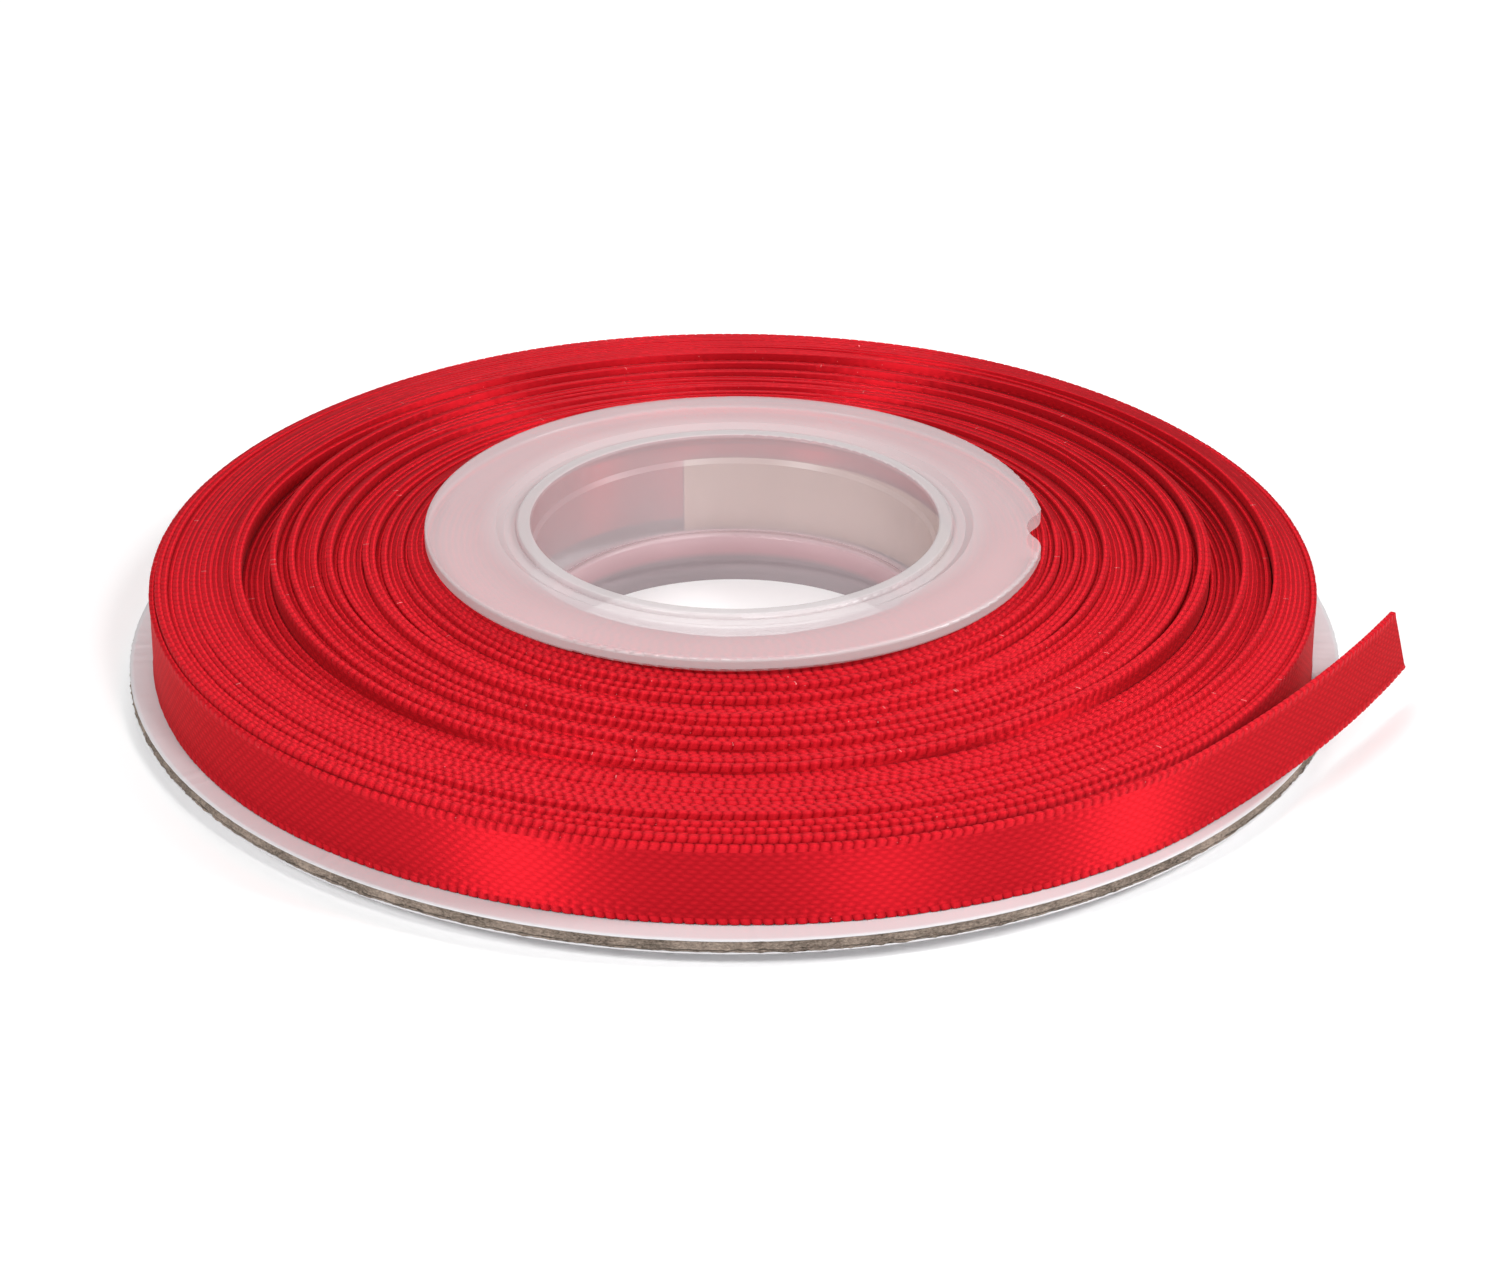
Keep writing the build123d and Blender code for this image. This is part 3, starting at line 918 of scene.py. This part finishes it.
def build_ribbon():
    """The wound ribbon in stretches, and its last stretch with the free end."""
    for name, first_lap, last_lap, node in STRETCHES:
        beads = first_lap >= COVERED_LAP
        piece = ribbon_strip(name, bead_at_lap(first_lap), bead_at_lap(last_lap), beads)
        dress(piece, RIBBON, "roll")
        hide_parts(node)
    wound_beads = round(WOUND_LENGTH / BEAD_PITCH)
    split = wound_beads - FREE_PIECE_BEADS
    last = ribbon_strip("ribbon_last_lap", bead_at_lap(LAST_PIECE_LAP), split, lower_selvage=True)
    dress(last, RIBBON, "roll")
    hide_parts("ribbon_outer_turns")
    tip = wound_beads + round(FREE_LENGTH / BEAD_PITCH)
    tail = ribbon_strip("ribbon_free_end_satin", split, tip, lower_selvage=True, cut_end=True)
    dress(tail, RIBBON, None)
    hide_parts("ribbon_free_end")
    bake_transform(tail)


# ---------------------------------------------------------------- disc: board and its two liners
EDGE_SEGMENTS = 1500
# How rough the board's cut rim is, in mm, and how far it is drawn in, as a share of that
CUT_ROUGHNESS = 0.09
CUT_INWARDS = 0.8
# Size of the burr on the upper liner's rim, in mm
BURR = 0.05
# Noise of the roughness and of the burr: share, seed and fineness
CUT_NOISE = (
    (1.0, 3.0, 60),
    (0.6, 7.0, 170),
)
BURR_NOISE = (
    (1.0, 5.0, 45),
    (0.4, 9.0, 150),
)
# Noise cells in a mm of height, and what takes the noise to about -1 to 1
CELLS_PER_MM = 9
NOISE_GAIN = 1.6
# The board's rim: how far inside the CAD board's it lies in mm, its rings of points, and its bulge in mm
RIM_INSET = 0.08
RIM_LEVELS = 10
PLY_BULGE = 0.05
# Widths in mm of the uneven bands at the board's and the upper liner's rims, and of the liners' last ring
BOARD_RIM = 0.2
LINER_RIM = 0.4
LINER_BAND = 0.35


def edge_noise(angle, height, seed, fineness):
    """Smooth noise round a cut edge, from about -1 to 1."""
    def sample(turned, level):
        across = (math.cos(turned) * fineness, math.sin(turned) * fineness)
        return noise.noise(Vector((*across, level * CELLS_PER_MM + seed))) * NOISE_GAIN

    return np.vectorize(sample)(angle, height)


def board_edge(angle, radius, height):
    """Fibres leave the board's cut rim uneven, with its middle plies pushed out."""
    outside = radius > board_high[0] - BOARD_RIM
    uneven = sum(share * edge_noise(angle, height, seed, fineness) for share, seed, fineness in CUT_NOISE)
    return radius + CUT_ROUGHNESS * np.where(outside, uneven - CUT_INWARDS, 0), height


def liner_edge(angle, radius, height):
    """The knife leaves a small burr on the liner's rim."""
    outside = radius > liner_high[0] - LINER_RIM
    uneven = sum(
        share * np.clip(edge_noise(angle, 0 * height, seed, fineness), 0, 1)
        for share, seed, fineness in BURR_NOISE
    )
    burr = BURR * np.where(outside, uneven, 0)
    return radius + burr, height + burr


def build_disc():
    """The board as a ring whose rim has its plies, and a thin paper ring on each face."""
    low, high, rim = board_low[2], board_high[2], board_high[0]
    levels = np.linspace(low, high, RIM_LEVELS)
    bulges = PLY_BULGE * np.sin(np.linspace(0, math.pi, RIM_LEVELS))
    edge = [(rim - RIM_INSET + bulge, level) for level, bulge in zip(levels, bulges)]
    outline = [(DISC_HOLE, low)] + edge + [(DISC_HOLE, high)]
    board = lathe("disc_board_plies", outline, EDGE_SEGMENTS, board_edge)
    dress(board, BOARD, "disc")
    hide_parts("disc_board")
    for name, low_corner, high_corner, shape in (
        ("liner_top", liner_low, liner_high, liner_edge),
        ("liner_bottom", under_low, under_high, None),
    ):
        rim = high_corner[0]
        base, top = low_corner[2], high_corner[2]
        outline = [(DISC_HOLE, base), (rim, base), (rim, top), (rim - LINER_BAND, top), (DISC_HOLE, top)]
        paper = lathe(name + "_sheet", outline, EDGE_SEGMENTS, shape)
        dress(paper, LINER, "disc")
        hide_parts(name)


# ---------------------------------------------------------------- floor, lights, camera
FLOOR_REACH = 3.0


def build_floor():
    """A large plain square under the object."""
    mesh = bpy.data.meshes.new("floor")
    corners = [(-1, -1), (1, -1), (1, 1), (-1, 1)]
    mesh.from_pydata([(x * FLOOR_REACH, y * FLOOR_REACH, 0) for x, y in corners], [], [(0, 1, 2, 3)])
    floor = new_piece("floor", mesh)
    mesh.materials.append(floor_material())


# Metres from the object
LIGHT_DISTANCE = 0.7
# Name, degrees to the right of the camera, degrees above the floor, width in metres, watts
SOFTBOXES = (
    ("softbox_left", -43, 38, 0.18, 2.8),
    ("softbox_front", 27, 42, 0.12, 1.5),
    ("softbox_right", 80, 36, 0.18, 2.7),
    ("softbox_back", 180, 60, 0.5, 1.6),
)
STUDIO_STRENGTH = 0.32


def area_light(name, direction, size, power):
    """A round softbox that looks at the object's foot."""
    data = bpy.data.lights.new(name, "AREA")
    data.shape = "DISK"
    data.size = size
    data.energy = power
    lamp = bpy.data.objects.new(name, data)
    place = [LIGHT_DISTANCE * part for part in direction]
    lamp.location = place
    lamp.rotation_euler = (-Vector(place)).to_track_quat("-Z", "Y").to_euler()
    bpy.context.scene.collection.objects.link(lamp)


def build_lights():
    """An even white studio, and softboxes round the object."""
    world = bpy.data.worlds.new("studio")
    world.use_nodes = True
    background = world.node_tree.nodes["Background"]
    background.inputs["Color"].default_value = (1, 1, 1, 1)
    background.inputs["Strength"].default_value = STUDIO_STRENGTH
    bpy.context.scene.world = world
    for name, azimuth, elevation, size, power in SOFTBOXES:
        turned = math.radians(azimuth)
        raised = math.radians(elevation)
        level = math.cos(raised)
        direction = (math.sin(turned) * level, -math.cos(turned) * level, math.sin(raised))
        area_light(name, direction, size, power)


CAMERA_ELEVATION = math.radians(26.59)
CAMERA_DISTANCE = 359.1 * MM
# Width of the sensor and focal length, in mm
SENSOR = 36.0
FOCAL = SENSOR * 3.0
# Shift of the frame to the right and up, as shares of its width
FRAMING = (0.0103, -0.0048)


def build_camera():
    """The camera in front of the object, aimed above the bore at the height of the disc's top."""
    data = bpy.data.cameras.new("camera")
    data.sensor_width = SENSOR
    data.lens = FOCAL
    data.shift_x, data.shift_y = FRAMING
    data.clip_start = 0.01
    camera = bpy.data.objects.new("camera", data)
    aim = Vector((0, 0, DISC_TOP * MM))
    back_off = Vector((0, -math.cos(CAMERA_ELEVATION), math.sin(CAMERA_ELEVATION))) * CAMERA_DISTANCE
    camera.location = aim + back_off
    camera.rotation_euler = (math.pi / 2 - CAMERA_ELEVATION, 0, 0)
    bpy.context.scene.collection.objects.link(camera)
    bpy.context.scene.camera = camera


build_ribbon()
dress_cad_pieces()
build_disc()
build_floor()
build_lights()
build_camera()
bpy.context.scene.view_settings.view_transform = "Standard"
